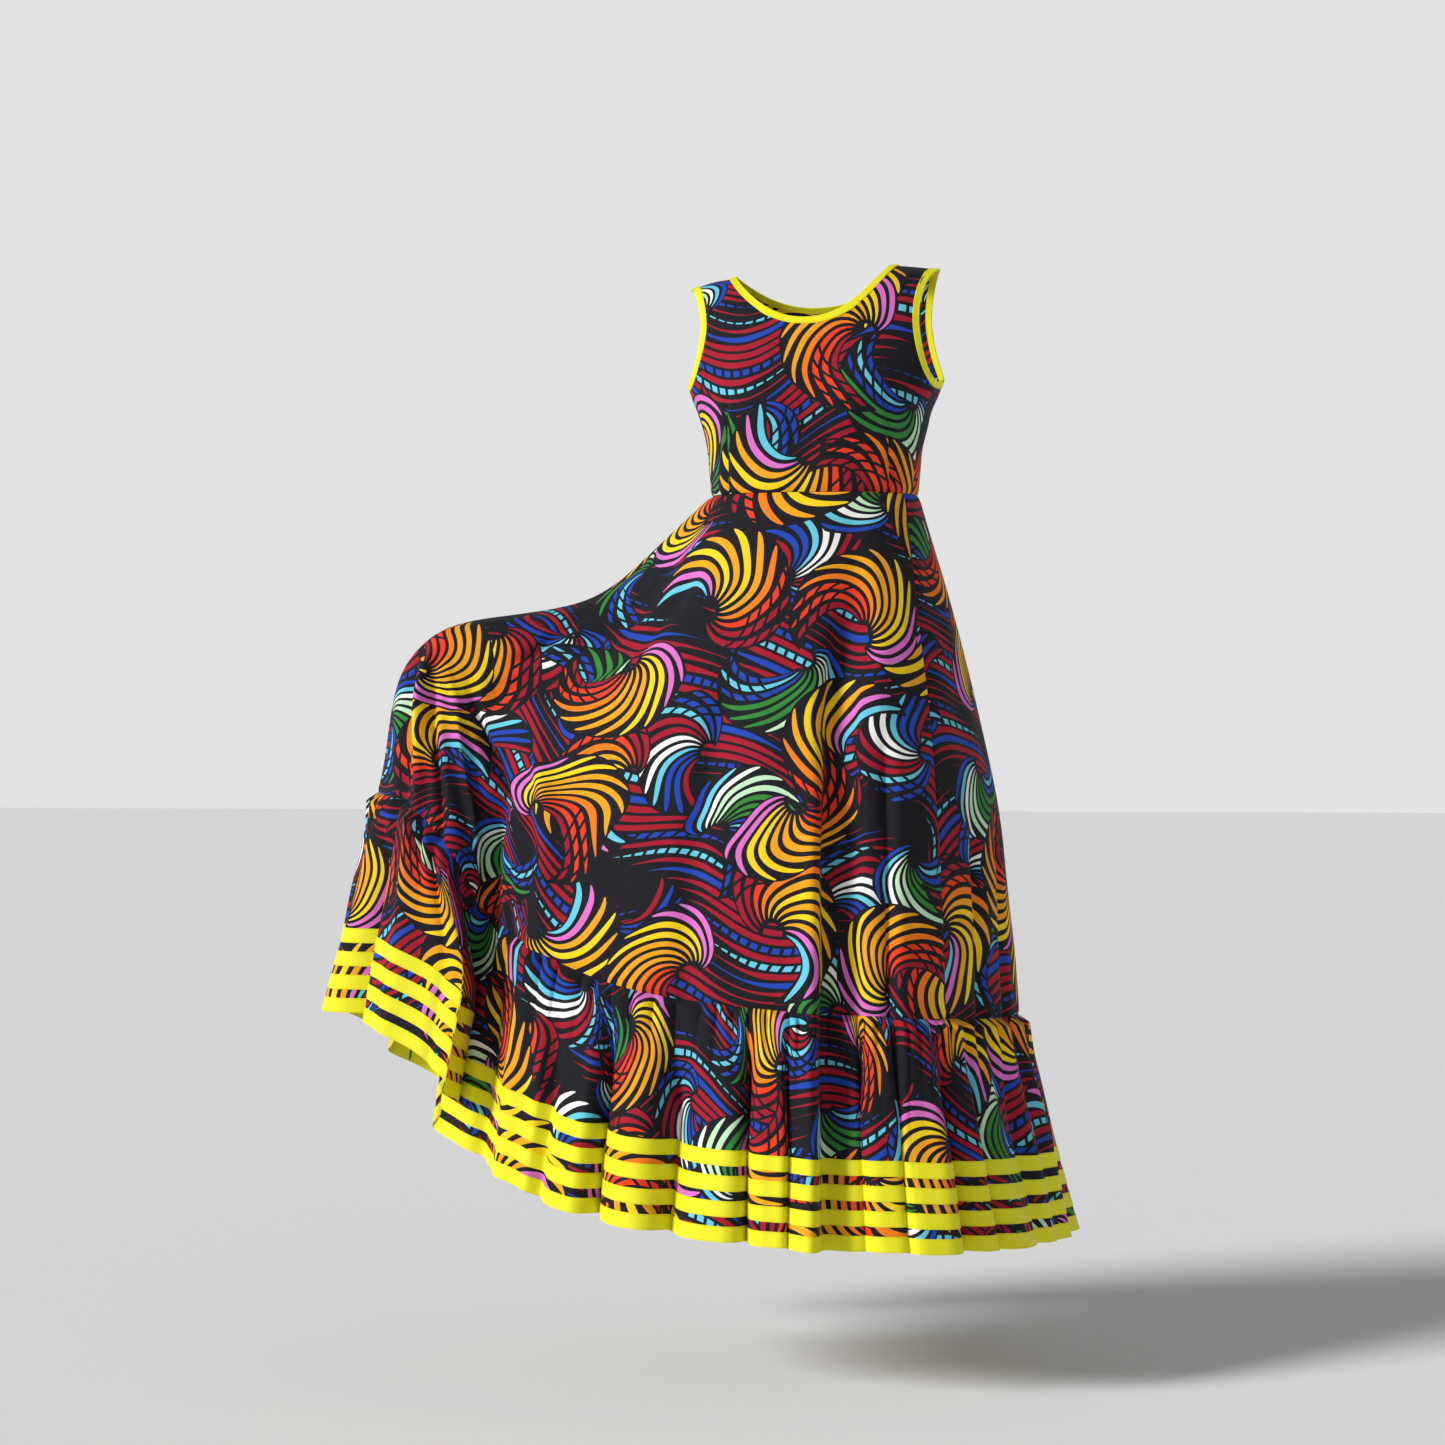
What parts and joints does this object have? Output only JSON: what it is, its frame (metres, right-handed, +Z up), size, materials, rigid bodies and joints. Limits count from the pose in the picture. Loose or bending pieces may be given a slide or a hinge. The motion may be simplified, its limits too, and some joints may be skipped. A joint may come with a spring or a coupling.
{
  "type": "ankara wax print dress",
  "caption": "Sleeveless floor-length wax print dress with scoop neck, yellow bound edges, flared skirt lifted at one side, gathered ruffle and yellow ribbon bands above the hem.",
  "frame": {"origin": "midway between the two neck points of the shoulder seams, where the wearer's shoulders carry the dress", "axes": "+X to the wearer's left, +Y to the back, +Z up"},
  "size_m": [1.0758, 0.6912, 1.3501],
  "materials": {
    "wax_print": "matt cotton, wax printed in many colours on black",
    "yellow_binding": "plain cotton bias strip",
    "yellow_ribbon": "soft satin ribbon",
    "zip_tape": "woven black tape",
    "zip_metal": "black enamel"
  },
  "bodies": {
    "dress": {"bodice_front": "wax_print", "bodice_back_left": "wax_print", "bodice_back_right": "wax_print", "neck_binding": "yellow_binding", "armhole_binding_left": "yellow_binding", "armhole_binding_right": "yellow_binding", "skirt_front": "wax_print", "skirt_back_left": "wax_print", "skirt_back_right": "wax_print", "ruffle_front": "wax_print", "ruffle_back": "wax_print", "ribbon_1": "yellow_ribbon", "ribbon_2": "yellow_ribbon", "ribbon_3": "yellow_ribbon", "ribbon_4": "yellow_ribbon", "zip_tape": "zip_tape", "zip_slider": "zip_metal"},
    "zip_pull": {"zip_pull": "zip_metal"}
  },
  "joints": [
    {"name": "zip_pull_hinge", "type": "hinge", "parent": "dress", "child": "zip_pull", "pos_m": [0, 0.09692, -0.05784], "axis": [1, 0, 0], "range_deg": [0, 150]}
  ]
}
